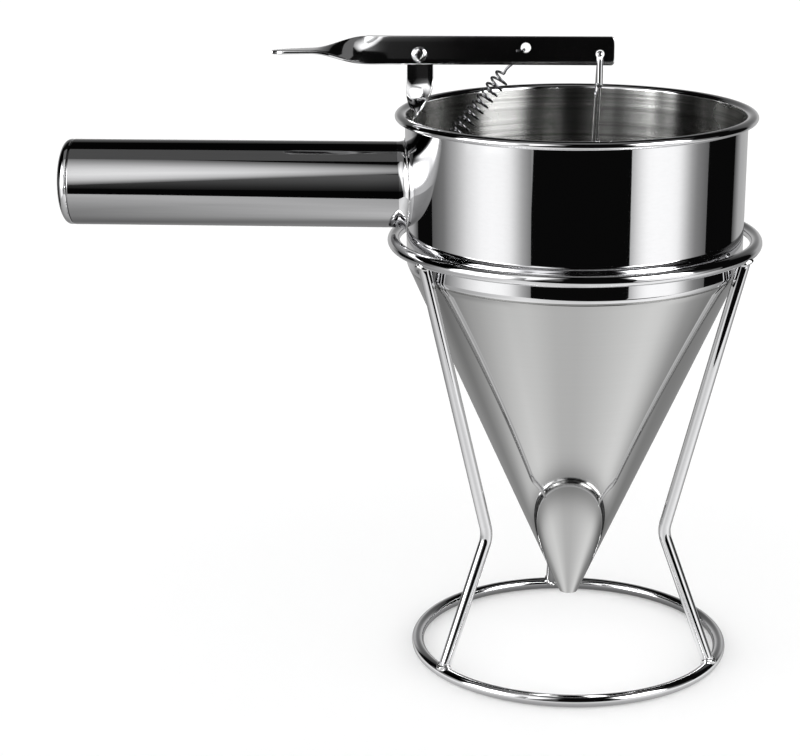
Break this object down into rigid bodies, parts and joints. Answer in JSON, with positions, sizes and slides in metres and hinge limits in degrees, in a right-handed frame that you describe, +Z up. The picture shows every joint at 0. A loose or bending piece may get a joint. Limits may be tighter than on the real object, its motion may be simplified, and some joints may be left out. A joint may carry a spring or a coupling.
{
  "type": "pancake batter dispenser",
  "caption": "Steel batter dispenser: cup and cone with a tube handle, a sprung lever that lifts a valve rod off the outlet, and a wire stand that holds it upright.",
  "frame": {"origin": "on the table, under the middle of the whole object", "axes": "+Z up along the funnel, +X from the handle's end towards the funnel, +Y to the back"},
  "size_m": [0.2834, 0.15, 0.2571],
  "materials": {
    "mirror_steel": "mirror-polished stainless steel",
    "satin_steel": "satin stainless steel",
    "wire_steel": "bright drawn stainless wire",
    "spring_steel": "dark drawn spring wire",
    "plated_steel": "bright plated steel"
  },
  "bodies": {
    "stand": {"support_ring": "wire_steel", "base_ring": "wire_steel", "leg_back": "wire_steel", "leg_left": "wire_steel", "leg_right": "wire_steel"},
    "funnel": {"cup": "mirror_steel", "cone": "satin_steel", "handle_tube": "mirror_steel", "handle_end_cap": "mirror_steel", "pivot_bracket": "mirror_steel", "pivot_screw": "plated_steel", "pivot_washer": "plated_steel", "pivot_nut": "plated_steel", "return_spring": "spring_steel"},
    "lever": {"lever": "mirror_steel"},
    "rod": {"valve_rod": "wire_steel", "valve_plug": "satin_steel"}
  },
  "joints": [
    {"name": "funnel_lift", "type": "slide", "parent": "stand", "child": "funnel", "axis": [0, 0, 1], "range_m": [0, 0.17]},
    {"name": "lever_press", "type": "hinge", "parent": "funnel", "child": "lever", "pos_m": [0.00465, 0, 0.2499], "axis": [0, -1, 0], "range_deg": [0, 18], "stiffness_Nm_per_rad": 0.5, "deforming": ["return_spring"]},
    {"name": "rod_swing", "type": "hinge", "parent": "lever", "child": "rod", "pos_m": [0.07575, 0, 0.2503], "axis": [0, 1, 0], "range_deg": [0, 18]}
  ],
  "couplings": [
    {"joint": "rod_swing", "follows": "lever_press", "ratio": 1}
  ]
}
